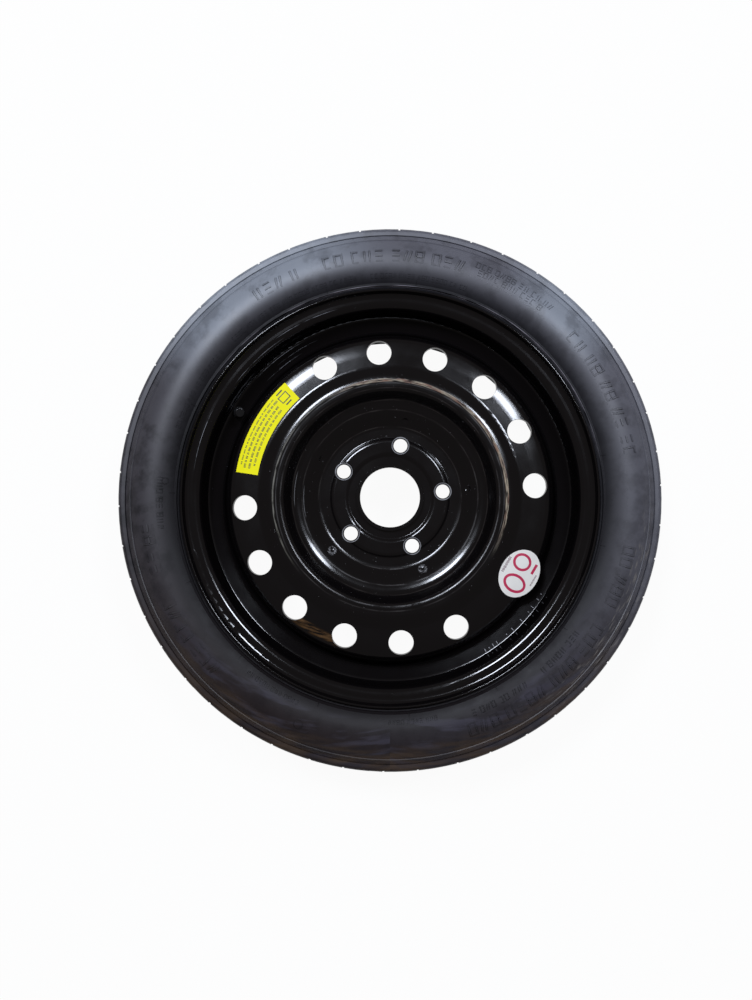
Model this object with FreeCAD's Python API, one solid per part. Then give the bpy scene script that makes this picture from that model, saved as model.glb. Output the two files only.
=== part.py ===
import FreeCAD
import Part
import math
import os

# A temporary spare wheel for a car, in millimetres and degrees.
# The origin is the wheel's centre: on its axis, midway between the rim's flanges.
# The axis is Z, the outer face looks to +Z, the wheel lies on its back, and the valve is at +Y.

# Rim: a rolled hoop of sheet steel
bead_seat_diameter = 405.6
rim_width = 101.6
rim_sheet = 2.6
flange_height = 17.3
flange_overhang = 10.5
flange_bend = 9.0
heel_radius = 6.5
bead_seat_width = 21.0
bead_seat_taper = 5.0
hump_height = 1.1
hump_width = 6.0
hump_bend = 3.2
well_depth = 21.0
well_wall_angle = 16.0
well_floor_width = 29.0
well_bend = 4.0

# Disc: one steel pressing. Its middle line runs outward from the bore collar.
# Heights are above the face that meets the car's hub, runs are along the radius.
hub_offset = 30.0
disc_sheet = 3.8
hub_bore = 64.1
collar_height = 9.0
collar_bend = 2.4
recess_rise = 0.7
hub_slope_run = 3.4
land_inside = 8.75
land_outside = 3.65
land_rise = 2.5
contact_width = 12.6
bowl_run = 16.2
bowl_rise = 11.0
ledge_run = 11.0
ledge_rise = 3.5
upper_wall_run = 10.2
upper_wall_rise = 14.7
crown_width = 11.3
step_run = 12.0
step_drop = 5.2
band_inner_fall = 3.0
band_outer_fall = 13.0
band_outer_run = 12.2
corner_inset = 8.75
flange_lead = 2.5
flange_length = 24.0
hub_bend = 4.0
bowl_bend = 10.0
ledge_bend = 30.0
upper_wall_bend = 14.0
crown_bend = 4.5
step_bend = 10.0
band_bend = 70.0
corner_bend = 9.0
flange_foot_bend = 10.0
disc_fit = 0.05

# Stud holes, vents and welds
stud_count = 5
stud_circle = 114.3
stud_hole = 15.0
nut_seat_diameter = 21.4
nut_seat_depth = 1.9
dimple_run = 8.2
dimple_diameter = 7.0
dimple_depth = 0.9
vent_pitches = 16
vents_per_group = 6
vent_hole = 26.2
vent_inset = 15.7
weld_count = 4
weld_span = 42.0
weld_leg = 3.4
weld_bulge = 0.5

# Tyre: one rubber moulding
tyre_diameter = 582.0
tyre_width = 125.0
tread_width = 93.0
tread_drop = 2.6
tread_thickness = 11.0
shoulder_bend = 4.5
shoulder_slope = 30.0
shoulder_groove_drop = 10.4
shoulder_groove_width = 1.6
shoulder_groove_depth = 1.4
shoulder_line_drop = 16.9
shoulder_line = 0.9
side_thickness = 8.0
widest_rise = 51.2
rim_line_gap = 4.1
rim_line = 1.3
rim_line_width = 2.6
clinch_slope = 26.0
grip_angle = 45.0
bead_fit = 0.15
bead_width = 15.5
bead_thickness = 7.5
bead_height = 13.0
groove_count = 4
groove_pitch = 19.5
groove_width = 6.0
groove_depth = 4.2
notch_pairs = 23
notch_share = 0.46
notch_width = 2.0
notch_depth = 2.6
notch_length = 8.0

# Valve, measured along its own axis from the rim's inner face
valve_inset = 8.1
valve_hole = 11.5
valve_fit = 0.1
valve_head_radius = 7.5
valve_head_height = 4.2
valve_head_round = 2.4
valve_lip_radius = 6.6
valve_lip_height = 2.4
valve_shoulder_height = 6.5
valve_shoulder_radius = 5.8
valve_neck_radius = 4.7
valve_neck_height = 13.5
stem_height = 22.5
stem_tube_radius = 3.0
stem_thread_radius = 3.85
stem_chamfer = 0.5
stem_bore_radius = 1.95
core_bore_radius = 2.65
core_cone_base = 12.4
core_cone_height = 2.2

# Valve core, seated on the stem's cone
core_gap = 0.05
plug_rise = 2.4
plug_height = 3.6
plug_wing_height = 1.5
plug_wing_width = 2.2
plug_bore = 1.0
barrel_length = 8.4
barrel_ledge = 2.0
barrel_wall = 0.5
barrel_neck = 1.55
pin_radius = 0.62
pin_air_gap = 0.15
pin_recess = 0.4
pin_point = 0.2
pin_collar = 1.12
pin_collar_height = 0.6
pin_collar_drop = 1.0
pin_cup_height = 1.2
pin_cup_radius = 1.5
washer_height = 0.55
spring_wire = 0.3
spring_wire_sides = 12
spring_turns = 8

# Cap
cap_wall = 1.1
cap_cover = 6.1
cap_roof = 1.2
cap_round = 1.0
cap_grips = 16
cap_grip_depth = 0.35
cap_grip_width = 0.8
cap_seal_height = 0.6

# Label and sticker, laid on the vent band
paper = 0.2
glue = 0.05
label_inset = 4.2
label_width = 23.5
label_start = -20.2
label_end = 18.0
sticker_length = 52.5
sticker_depth = 41.4
sticker_inset = 10.7
sticker_angle = 181.3

# Sizes that follow from those above
bead_radius = bead_seat_diameter / 2
half_width = rim_width / 2
lip_radius = bead_radius + flange_height
well_inner_radius = bead_radius - well_depth - rim_sheet
tyre_radius = tyre_diameter / 2
stud_radius = stud_circle / 2
core_cone_top = core_cone_base + core_cone_height
barrel_foot = core_cone_base - barrel_length
plug_base = core_cone_top + plug_rise
cap_skirt = stem_height - cap_cover

AXIS = FreeCAD.Vector(0, 0, 1)
SIDEWAYS = FreeCAD.Vector(1, 0, 0)
CENTRE = FreeCAD.Vector(0, 0, 0)
QUARTER = 90
EIGHTH = QUARTER / 2


def sine(angle):
    return math.sin(math.radians(angle))


def cosine(angle):
    return math.cos(math.radians(angle))


def tangent(angle):
    return math.tan(math.radians(angle))


def section_point(point):
    """Place a (radius, height) pair in the half-plane that is turned about the axis."""
    return FreeCAD.Vector(point[0], 0, point[1])


def turn(face, angle=360):
    """Turn a section about the wheel's axis."""
    return face.revolve(CENTRE, AXIS, angle)


def clockwise(shape, angle):
    """Copy a shape to an angle, clockwise as seen from the outer face."""
    copy = shape.copy()
    copy.rotate(CENTRE, AXIS, -angle)
    return copy


def along(start, end):
    """Unit direction from one section point to another."""
    step = (end[0] - start[0], end[1] - start[1])
    length = math.hypot(step[0], step[1])
    return step[0] / length, step[1] / length


def ahead(point, direction, distance):
    """The point at a distance along a run."""
    return point[0] + direction[0] * distance, point[1] + direction[1] * distance


def beside(point, direction, distance):
    """The point at a distance to the left of a run."""
    return point[0] - direction[1] * distance, point[1] + direction[0] * distance


def on_circle(centre, radius, angle):
    """The point on a section's circle at an angle from outward, towards the front."""
    return centre[0] + radius * cosine(angle), centre[1] + radius * sine(angle)


def curve(*points):
    """A straight edge through two section points, or an arc through three."""
    corners = [section_point(point) for point in points]
    if len(corners) == 2:
        return Part.LineSegment(*corners).toShape()
    return Part.Arc(*corners).toShape()


def section(edges):
    """Face inside a closed run of edges."""
    return Part.Face(Part.Wire(Part.__sortEdges__(edges)))


def polygon(points):
    """Face inside straight edges."""
    return section([curve(a, b) for a, b in zip(points, points[1:] + points[:1])])


def ring(inner, outer, base, top):
    """A plain turned ring, or a rod where the inner radius is nought."""
    return turn(polygon([(inner, base), (outer, base), (outer, top), (inner, top)]))


def rod(radius, base, top, place=CENTRE):
    """A round punch along the axis through a place."""
    return Part.makeCylinder(radius, top - base, place + AXIS * base, AXIS)


def sheet_side(points, bends, distance):
    """Edges of one face of a bent sheet, at a distance left of its middle line."""
    edges = []
    runs = [along(a, b) for a, b in zip(points, points[1:])]
    last = beside(points[0], runs[0], distance)
    for corner, bend, before, after in zip(points[1:], bends, runs, runs[1:]):
        turning = before[0] * after[1] - before[1] * after[0]
        side = 1 if turning > 0 else -1
        reach = bend * math.tan(math.acos(before[0] * after[0] + before[1] * after[1]) / 2)
        entry = ahead(corner, before, -reach)
        leave = ahead(corner, after, reach)
        middle = beside(entry, before, side * bend)
        first = beside(entry, before, distance)
        halfway = ahead(middle, along(middle, corner), bend - side * distance)
        end = beside(leave, after, distance)
        edges.append(curve(last, first))
        edges.append(curve(first, halfway, end))
        last = end
    edges.append(curve(last, beside(points[-1], runs[-1], distance)))
    return edges


def sheet_end(point, outward, near, far, rounded):
    """The edge that closes a sheet at one end, half round or square."""
    start = beside(point, outward, near)
    end = beside(point, outward, far)
    if not rounded:
        return curve(start, end)
    tip = ahead(beside(point, outward, (near + far) / 2), outward, (far - near) / 2)
    return curve(start, tip, end)


def sheet_section(points, bends, near, far, rounded=False):
    """Section of a bent sheet between two distances from its middle line."""
    edges = sheet_side(points, bends, near) + sheet_side(points, bends, far)
    edges.append(sheet_end(points[0], along(points[1], points[0]), -far, -near, rounded))
    edges.append(sheet_end(points[-1], along(points[-2], points[-1]), near, far, rounded))
    return section(edges)


def rim_half():
    """Middle line of the rim from the outer lip to the top of the well, with its bends."""
    half_sheet = rim_sheet / 2
    lip = lip_radius - half_sheet
    wall = half_width + half_sheet
    seat = bead_radius - half_sheet
    seat_end = half_width - bead_seat_width
    seat_low = seat - (wall - seat_end) * tangent(bead_seat_taper)
    points = [
        (lip, half_width + flange_overhang - half_sheet),
        (lip, wall),
        (seat, wall),
        (seat_low, seat_end),
        (seat_low + hump_height, seat_end - hump_width / 2),
        (seat_low - hump_height / 2, seat_end - hump_width),
    ]
    bends = [flange_bend - half_sheet, heel_radius + half_sheet, hump_bend, hump_bend, hump_bend]
    return points, bends


def well_front():
    """The outer corner of the well's floor, on the rim's middle line."""
    top_radius, top = rim_half()[0][-1]
    floor = well_inner_radius + rim_sheet / 2
    return floor, top - (top_radius - floor) * tangent(well_wall_angle)


def make_rim():
    half, bends = rim_half()
    floor, front = well_front()
    back = [(radius, -height) for radius, height in reversed(half)]
    points = half + [(floor, front), (floor, front - well_floor_width)] + back
    all_bends = bends + [well_bend, well_bend] + bends[::-1]
    hoop = turn(sheet_section(points, all_bends, -rim_sheet / 2, rim_sheet / 2, rounded=True))
    drill = rod(valve_hole / 2, -2 * rim_sheet, rim_sheet)
    return hoop.cut(at_valve(drill))


def at_valve(shape):
    """Move a piece from the valve's own axis to its place, square to the rim's well wall."""
    top_radius, top = rim_half()[0][-1]
    radius = top_radius - valve_inset - rim_sheet / 2 * sine(well_wall_angle)
    height = top - valve_inset * tangent(well_wall_angle) + rim_sheet / 2 * cosine(well_wall_angle)
    lean = FreeCAD.Rotation(SIDEWAYS, well_wall_angle)
    placed = shape.copy()
    placed.Placement = FreeCAD.Placement(FreeCAD.Vector(0, radius, height), lean).multiply(shape.Placement)
    return placed


def bowl_foot():
    """Foot of the bowl's wall, at the edge of the ring that meets the hub."""
    radius = stud_radius + land_outside + hub_slope_run + contact_width
    return radius, hub_offset + disc_sheet / 2


def crown_end():
    """Outer edge of the disc's high ring, on its middle line."""
    foot, contact = bowl_foot()
    run = bowl_run + ledge_run + upper_wall_run + crown_width
    return foot + run, contact + bowl_rise + ledge_rise + upper_wall_rise


def band_start():
    """Inner corner of the vent band."""
    radius, height = crown_end()
    return radius + step_run, height - step_drop


def band_end_radius():
    """Radius of the disc's outer corner, set in from the welding flange."""
    return well_inner_radius - disc_fit - disc_sheet / 2 - corner_inset


def band_turn():
    """Where the vent band grows steeper."""
    start, height = band_start()
    radius = band_end_radius() - band_outer_run
    return radius, height - (radius - start) * tangent(band_inner_fall)


def band_end():
    """The disc's outer corner."""
    radius, height = band_turn()
    return radius + band_outer_run, height - band_outer_run * tangent(band_outer_fall)


def disc_line():
    """Middle line of the disc from the bore collar to the end of the welding flange."""
    half_sheet = disc_sheet / 2
    foot, contact = bowl_foot()
    recess = contact + recess_rise
    land = contact + land_rise
    collar = hub_bore / 2 + half_sheet
    land_start = stud_radius - land_inside
    land_end = stud_radius + land_outside
    bowl = (foot + bowl_run, contact + bowl_rise)
    ledge = (bowl[0] + ledge_run, bowl[1] + ledge_rise)
    crown = (ledge[0] + upper_wall_run, ledge[1] + upper_wall_rise)
    flange = well_inner_radius - disc_fit - half_sheet
    flange_top = well_front()[1] + flange_lead
    points = [
        (collar, hub_offset + collar_height),
        (collar, recess),
        (land_start - hub_slope_run, recess),
        (land_start, land),
        (land_end, land),
        (land_end + hub_slope_run, contact),
        (foot, contact),
        bowl,
        ledge,
        crown,
        crown_end(),
        band_start(),
        band_turn(),
        band_end(),
        (flange, flange_top),
        (flange, flange_top - flange_length),
    ]
    bends = [collar_bend] + [hub_bend] * 4 + [bowl_bend, ledge_bend, upper_wall_bend, crown_bend]
    return points, bends + [step_bend] * 2 + [band_bend, corner_bend, flange_foot_bend]


def stud_tool():
    """One stud hole with its coned nut seat, and the shallow dimple on the bowl beyond it."""
    land_front = hub_offset + land_rise + disc_sheet
    place = FreeCAD.Vector(0, stud_radius, land_front)
    hole = rod(stud_hole / 2, -2 * disc_sheet, disc_sheet, place)
    seat_base = place - AXIS * nut_seat_depth
    seat = Part.makeCone(stud_hole / 2, nut_seat_diameter / 2, nut_seat_depth, seat_base, AXIS)
    slope = along((0, 0), (bowl_run, bowl_rise))
    ball = dimple_diameter ** 2 / (8 * dimple_depth) + dimple_depth / 2
    spot = ahead(bowl_foot(), slope, dimple_run / slope[0])
    middle = beside(spot, slope, disc_sheet / 2 + ball - dimple_depth)
    dimple = Part.makeSphere(ball, FreeCAD.Vector(0, middle[0], middle[1]))
    return hole.fuse(seat).fuse(dimple)


def vent_angles():
    """Angles of the vents: two groups, each centred a quarter turn from the valve."""
    pitch = 360 / vent_pitches
    angles = []
    for middle in (QUARTER, -QUARTER):
        first = middle - pitch * (vents_per_group - 1) / 2
        angles += [first + pitch * step for step in range(vents_per_group)]
    return angles


def vent_tool():
    """One vent, punched square to the middle of the vent band."""
    place = FreeCAD.Vector(0, band_end_radius() - vent_inset, band_turn()[1])
    punch = rod(vent_hole / 2, -2 * disc_sheet, 2 * disc_sheet)
    lean = FreeCAD.Rotation(SIDEWAYS, -(band_inner_fall + band_outer_fall) / 2)
    punch.Placement = FreeCAD.Placement(place, lean).multiply(punch.Placement)
    return punch


def make_wheel_disc():
    points, bends = disc_line()
    disc = turn(sheet_section(points, bends, -disc_sheet / 2, disc_sheet / 2))
    tools = [clockwise(stud_tool(), 360 / stud_count * step) for step in range(stud_count)]
    tools += [clockwise(vent_tool(), angle) for angle in vent_angles()]
    return disc.cut(Part.makeCompound(tools))


def make_disc_welds():
    """Weld beads in the corner between the disc flange's end and the rim's well."""
    flange_end = disc_line()[0][-1][1]
    inner = (well_inner_radius - weld_leg, flange_end)
    corner = (well_inner_radius, flange_end)
    lower = (well_inner_radius, flange_end - weld_leg)
    halfway = ((inner[0] + lower[0]) / 2, (inner[1] + lower[1]) / 2)
    crest = beside(halfway, along(inner, lower), -weld_bulge)
    bead = turn(section([curve(inner, corner), curve(corner, lower), curve(lower, crest, inner)]), weld_span)
    return Part.makeCompound([clockwise(bead, 360 / weld_count * step) for step in range(weld_count)])


def shoulder_edges():
    """Outer half of the tread, the rounded shoulder, its groove and its raised line."""
    edge = (tyre_radius - tread_drop, tread_width / 2)
    bend_centre = (edge[0] - shoulder_bend, edge[1])
    side = edge[1] + shoulder_bend
    groove = tyre_radius - shoulder_groove_drop
    line = tyre_radius - shoulder_line_drop
    line_height = side + (groove - line) * tangent(shoulder_slope)
    points = [
        (bend_centre[0], side),
        (groove, side),
        (groove - shoulder_groove_width / 2, side - shoulder_groove_depth),
        (groove - shoulder_groove_width, side + shoulder_groove_width * tangent(shoulder_slope)),
        (line + shoulder_line, line_height - shoulder_line * tangent(shoulder_slope)),
        (line, line_height + shoulder_line),
        (line - shoulder_line, line_height + shoulder_line / 2),
    ]
    edges = [
        curve((tyre_radius, 0), (tyre_radius - tread_drop / 4, edge[1] / 2), edge),
        curve(edge, on_circle(bend_centre, shoulder_bend, EIGHTH), points[0]),
    ]
    edges += [curve(a, b) for a, b in zip(points, points[1:])]
    return edges, points[-1]


def clinch_points():
    """The rim line and the stretch below it, down to where the tyre leaves the flange."""
    clear = flange_bend + bead_fit
    centre = (lip_radius - flange_bend, half_width + flange_bend)
    release = on_circle(centre, clear, grip_angle - QUARTER)
    slope = tangent(clinch_slope)
    line = lip_radius + rim_line_gap
    height = release[1] + (line - release[0]) * slope
    foot = line + rim_line_width
    return [
        (foot, height + rim_line_width * slope),
        (line + rim_line_width / 2, height + rim_line),
        (line, height + rim_line),
        (line - rim_line / 2, height - rim_line / 2),
        release,
    ]


def bead_edges(release):
    """The bead, seated in the rim from the flange's bend down to its toe."""
    clear = flange_bend + bead_fit
    centre = (lip_radius - flange_bend, half_width + flange_bend)
    grip = on_circle(centre, clear, -QUARTER)
    wall = half_width - bead_fit
    seat = bead_radius + bead_fit
    heel = heel_radius + bead_fit
    heel_centre = (seat + heel, wall - heel)
    taper = tangent(bead_seat_taper)
    toe = (seat - bead_width * taper, half_width - bead_width)
    high = (heel_centre[0], wall)
    low = (seat, heel_centre[1])
    edges = [
        curve(release, on_circle(centre, clear, grip_angle / 2 - QUARTER), grip),
        curve(grip, high),
        curve(high, on_circle(heel_centre, heel, QUARTER + EIGHTH), low),
        curve(low, toe),
    ]
    return edges, toe


def tyre_half():
    """Edges of half the tyre's section, on the outer side of its centre plane."""
    edges, shoulder = shoulder_edges()
    clinch = clinch_points()
    widest = bead_radius + widest_rise
    edges.append(curve(shoulder, (widest, tyre_width / 2), clinch[0]))
    edges += [curve(a, b) for a, b in zip(clinch, clinch[1:])]
    bead, toe = bead_edges(clinch[-1])
    lining = tyre_radius - tread_thickness
    bead_top = (toe[0] + bead_height, toe[1] + bead_thickness)
    lining_edge = (lining - tread_drop, tread_width / 2 - shoulder_bend)
    lining_middle = (lining - tread_drop / 4, lining_edge[1] / 2)
    edges += bead
    edges.append(curve(toe, bead_top))
    edges.append(curve(bead_top, (widest, tyre_width / 2 - side_thickness), lining_edge))
    edges.append(curve(lining_edge, lining_middle, (lining, 0)))
    return edges


def tread_tools():
    """Grooves round the tread, and notches along both shoulders."""
    floor = tyre_radius - groove_depth
    beyond = tyre_radius + groove_depth
    tools = []
    for step in range(groove_count):
        middle = (step - (groove_count - 1) / 2) * groove_pitch
        tools.append(ring(floor, beyond, middle - groove_width / 2, middle + groove_width / 2))
    shoulder = tread_width / 2 + shoulder_bend
    notch_floor = tyre_radius - tread_drop - notch_depth
    notch = Part.makeBox(notch_width, 3 * notch_depth, 2 * notch_length)
    notch.translate(FreeCAD.Vector(-notch_width / 2, notch_floor, shoulder - notch_length))
    back_notch = notch.mirror(CENTRE, AXIS)
    pitch = 360 / notch_pairs
    for pair in range(notch_pairs):
        for share in (0, notch_share):
            angle = pitch * (pair + share)
            tools.append(clockwise(notch, angle))
            tools.append(clockwise(back_notch, angle + pitch * notch_share / 2))
    return Part.makeCompound(tools)


def make_tyre():
    half = tyre_half()
    other = [edge.mirror(CENTRE, AXIS) for edge in half]
    return turn(section(half + other)).cut(tread_tools())


def make_valve_rubber():
    neck = valve_hole / 2 - valve_fit
    inner = stem_tube_radius
    under = -rim_sheet - valve_fit
    head_end = under - valve_head_height
    round_centre = (valve_head_radius - valve_head_round, head_end + valve_head_round)
    head_low = (round_centre[0], head_end)
    head_side = (valve_head_radius, round_centre[1])
    points = [
        head_side,
        (valve_head_radius, under),
        (neck, under),
        (neck, valve_fit),
        (valve_lip_radius, valve_fit),
        (valve_lip_radius, valve_lip_height / 2),
        (valve_shoulder_radius, valve_lip_height),
        (valve_shoulder_radius, valve_shoulder_height),
        (valve_neck_radius, valve_neck_height),
        (inner, valve_neck_height),
        (inner, head_end),
        head_low,
    ]
    edges = [curve(a, b) for a, b in zip(points, points[1:])]
    edges.append(curve(head_low, on_circle(round_centre, valve_head_round, -EIGHTH), head_side))
    return at_valve(turn(section(edges)))


def make_valve_stem():
    foot = -rim_sheet - valve_fit - valve_head_height
    outline = polygon([
        (stem_bore_radius, foot),
        (stem_tube_radius, foot),
        (stem_tube_radius, valve_neck_height),
        (stem_thread_radius, valve_neck_height),
        (stem_thread_radius, stem_height - stem_chamfer),
        (stem_thread_radius - stem_chamfer, stem_height),
        (core_bore_radius, stem_height),
        (core_bore_radius, core_cone_top),
        (stem_bore_radius, core_cone_base),
    ])
    return at_valve(turn(outline))


def make_core_plug():
    outer = core_bore_radius - core_gap
    top = plug_base + plug_height
    body = ring(plug_bore, outer, plug_base, top)
    wing = ring(plug_bore, outer, top, top + plug_wing_height)
    slab = Part.makeBox(2 * outer, plug_wing_width, plug_wing_height)
    slab.translate(FreeCAD.Vector(-outer, -plug_wing_width / 2, top))
    return at_valve(body.fuse(wing.common(slab)).removeSplitter())


def barrel_bore():
    return stem_bore_radius - core_gap - barrel_wall


def make_core_barrel():
    outer = stem_bore_radius - core_gap
    head = core_bore_radius - 2 * core_gap
    guide = pin_radius + pin_air_gap
    seal_base = core_cone_base - core_gap
    seal_top = core_cone_top + core_gap
    outline = polygon([
        (guide, barrel_foot),
        (outer, barrel_foot),
        (outer, seal_base),
        (barrel_neck, seal_base),
        (barrel_neck, seal_top),
        (head, seal_top),
        (head, plug_base),
        (barrel_bore(), plug_base),
        (barrel_bore(), barrel_foot + barrel_ledge),
        (guide, barrel_foot + barrel_ledge),
    ])
    return at_valve(turn(outline))


def make_core_seal():
    seal_base = core_cone_base - core_gap
    seal_top = core_cone_top + core_gap
    outline = polygon([
        (barrel_neck, seal_base),
        (stem_bore_radius - core_gap, seal_base),
        (core_bore_radius - 2 * core_gap, seal_top),
        (barrel_neck, seal_top),
    ])
    return at_valve(turn(outline))


def washer_base():
    return barrel_foot - core_gap - washer_height


def pin_collar_base():
    return core_cone_top - pin_collar_drop


def make_core_pin():
    top = stem_height - pin_recess
    collar_top = pin_collar_base() + pin_collar_height
    outline = polygon([
        (0, washer_base() - pin_cup_height),
        (pin_cup_radius, washer_base() - pin_cup_height),
        (pin_cup_radius, washer_base()),
        (pin_radius, washer_base()),
        (pin_radius, pin_collar_base()),
        (pin_collar, pin_collar_base()),
        (pin_collar, collar_top),
        (pin_radius, collar_top),
        (pin_radius, top - pin_point),
        (pin_radius - pin_point, top),
        (0, top),
    ])
    return at_valve(turn(outline))


def make_pin_washer():
    return at_valve(ring(pin_radius, pin_cup_radius, washer_base(), washer_base() + washer_height))


def make_core_spring():
    """Coil spring between the barrel's ledge and the pin's collar."""
    end_gap = core_gap + spring_wire / 2
    coil = barrel_bore() - end_gap
    base = barrel_foot + barrel_ledge + end_gap
    height = pin_collar_base() - end_gap - base
    path = Part.makeHelix(height / spring_turns, height, coil)
    step = 360 / spring_wire_sides
    sides = [on_circle((coil, 0), spring_wire / 2, step * side) for side in range(spring_wire_sides)]
    corners = [section_point(corner) for corner in sides]
    wire = Part.makePolygon(corners + corners[:1])
    spring = Part.Wire(path).makePipeShell([wire], True, True)
    spring.translate(AXIS * base)
    return at_valve(spring)


def make_valve_cap():
    inner = stem_thread_radius + core_gap
    outer = inner + cap_wall
    ceiling = stem_height + cap_seal_height + 2 * core_gap
    top = ceiling + cap_roof
    round_centre = (outer - cap_round, top - cap_round)
    round_low = (outer, round_centre[1])
    round_high = (round_centre[0], top)
    points = [
        round_high,
        (0, top),
        (0, ceiling),
        (inner, ceiling),
        (inner, cap_skirt),
        (outer, cap_skirt),
        round_low,
    ]
    edges = [curve(a, b) for a, b in zip(points, points[1:])]
    edges.append(curve(round_low, on_circle(round_centre, cap_round, EIGHTH), round_high))
    cap = turn(section(edges))
    slot = Part.makeBox(2 * cap_grip_depth, cap_grip_width, round_low[1] - cap_skirt)
    slot.translate(FreeCAD.Vector(outer - cap_grip_depth, -cap_grip_width / 2, cap_skirt))
    slots = [clockwise(slot, 360 / cap_grips * step) for step in range(cap_grips)]
    return at_valve(cap.cut(Part.makeCompound(slots)))


def make_cap_seal():
    base = stem_height + core_gap
    return at_valve(ring(0, stem_thread_radius - core_gap, base, base + cap_seal_height))


def front_layer(points, bends, angle):
    """Thin layer in front of the disc, beside a stretch of its middle line."""
    near = disc_sheet / 2 + glue
    layer = sheet_section(points, bends, near, near + paper)
    return clockwise(turn(layer, angle), angle / 2 - QUARTER)


def make_yellow_label():
    spread = label_end - label_start
    layer = front_layer([band_start(), band_turn(), band_end()], [band_bend], spread)
    layer = clockwise(layer, (label_start + label_end) / 2)
    outer = band_end_radius() - label_inset
    return layer.common(ring(outer - label_width, outer, hub_offset, 2 * tyre_width))


def make_oval_sticker():
    """The sticker lies on the vent band and stands out straight past the disc's corner."""
    radius = band_end_radius() - sticker_inset
    past = ahead(band_turn(), along(band_turn(), band_end()), sticker_depth)
    points = [crown_end(), band_start(), band_turn(), past]
    layer = front_layer(points, [step_bend, band_bend], math.degrees(2 * sticker_length / radius))
    across = sticker_depth / sticker_length
    shape = Part.Ellipse(CENTRE, sticker_length / 2, sticker_length / 2 * across).toShape()
    punch = Part.Face(Part.Wire(shape)).extrude(AXIS * tyre_width)
    punch.translate(FreeCAD.Vector(0, radius, 0))
    return clockwise(layer.common(punch), sticker_angle)


PIECES = {
    "tyre": make_tyre,
    "rim": make_rim,
    "wheel_disc": make_wheel_disc,
    "disc_welds": make_disc_welds,
    "valve_rubber": make_valve_rubber,
    "valve_stem": make_valve_stem,
    "core_plug": make_core_plug,
    "core_barrel": make_core_barrel,
    "core_seal": make_core_seal,
    "core_pin": make_core_pin,
    "pin_washer": make_pin_washer,
    "core_spring": make_core_spring,
    "valve_cap": make_valve_cap,
    "cap_seal": make_cap_seal,
    "yellow_label": make_yellow_label,
    "oval_sticker": make_oval_sticker,
}

os.makedirs("parts", exist_ok=True)
for name, make in PIECES.items():
    piece = make()
    piece.exportStep("parts/" + name + ".step")
    print(name, "solids", len(piece.Solids), "valid", piece.isValid(), "volume", round(piece.Volume, 2))
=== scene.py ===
# %% [markdown]
# A spare wheel and its looks
#
# The wheel is already built as solids: a tyre, a rolled rim, a pressed disc, a snap-in valve,
# a label and a sticker. This lesson gives each of them its surface, adds the raised and printed
# marks that are too fine for the solids, and lights it all as in the picture.

import math
import random

import bpy
from mathutils import Euler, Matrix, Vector
from mathutils.bvhtree import BVHTree


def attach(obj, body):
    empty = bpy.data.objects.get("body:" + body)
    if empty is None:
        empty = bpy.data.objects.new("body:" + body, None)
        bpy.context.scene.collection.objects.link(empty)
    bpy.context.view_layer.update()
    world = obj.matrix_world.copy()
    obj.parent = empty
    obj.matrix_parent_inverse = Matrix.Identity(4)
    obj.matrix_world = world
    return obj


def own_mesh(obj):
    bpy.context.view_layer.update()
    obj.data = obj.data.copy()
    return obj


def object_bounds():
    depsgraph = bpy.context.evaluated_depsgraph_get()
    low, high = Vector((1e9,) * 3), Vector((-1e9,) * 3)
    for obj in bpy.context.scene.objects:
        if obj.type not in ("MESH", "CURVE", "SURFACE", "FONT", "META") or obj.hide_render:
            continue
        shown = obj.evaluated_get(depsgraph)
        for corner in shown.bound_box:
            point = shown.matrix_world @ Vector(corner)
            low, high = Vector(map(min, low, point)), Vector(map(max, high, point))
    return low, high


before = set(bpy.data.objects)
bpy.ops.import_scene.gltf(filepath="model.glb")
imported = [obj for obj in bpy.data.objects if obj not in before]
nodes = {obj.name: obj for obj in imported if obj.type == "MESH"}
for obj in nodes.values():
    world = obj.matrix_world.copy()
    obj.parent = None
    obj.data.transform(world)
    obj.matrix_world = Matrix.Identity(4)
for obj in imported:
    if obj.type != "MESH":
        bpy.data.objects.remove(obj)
cad_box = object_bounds()
MM = 0.001
print("solids:", len(nodes), "box:", [round(side / MM, 1) for side in cad_box[1] - cad_box[0]])

# %% [markdown]
# The picture looks almost straight at the outer face from a little under a metre away. The wheel lies
# on its back here, so the camera hangs above it and looks down. Angles on the wheel are easiest to
# read as on a clock, clockwise from the top of the picture, and the valve fixes how that clock lies
# on the frame: the frame has the valve at +Y. The lower edge of the tyre is a little larger in the
# picture than the upper one, so the camera is tilted by about two degrees. A lens shift then puts the
# hub where the picture has it, and unlike a further turn it leaves the circles round.

# %% Camera
IMAGE_WIDTH = 752
IMAGE_HEIGHT = 1000
HUB_IN_PICTURE = (390, 497.5)
HUB_HEIGHT = 36 * MM
VALVE_CLOCK = 299.4
CAMERA_DISTANCE = 905 * MM
CAMERA_TILT = 2.28
FOCAL_LENGTH = 30.3


def direction(clock):
    """Flat direction on the wheel for an angle clockwise from the top of the picture."""
    turn = math.radians(clock - VALVE_CLOCK)
    return Vector((math.sin(turn), math.cos(turn), 0))


camera = bpy.data.objects.new("camera", bpy.data.cameras.new("camera"))
bpy.context.scene.collection.objects.link(camera)
camera.rotation_euler = Euler((math.radians(CAMERA_TILT), 0, math.radians(VALVE_CLOCK - 360)))
look = camera.rotation_euler.to_matrix() @ Vector((0, 0, -1))
camera.location = Vector((0, 0, HUB_HEIGHT)) - look * CAMERA_DISTANCE
camera.data.lens = FOCAL_LENGTH
camera.data.shift_x = (IMAGE_WIDTH / 2 - HUB_IN_PICTURE[0]) / IMAGE_HEIGHT
camera.data.shift_y = (HUB_IN_PICTURE[1] - IMAGE_HEIGHT / 2) / IMAGE_HEIGHT
bpy.context.scene.camera = camera
print("camera up:", [round(x, 3) for x in direction(0)])

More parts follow.
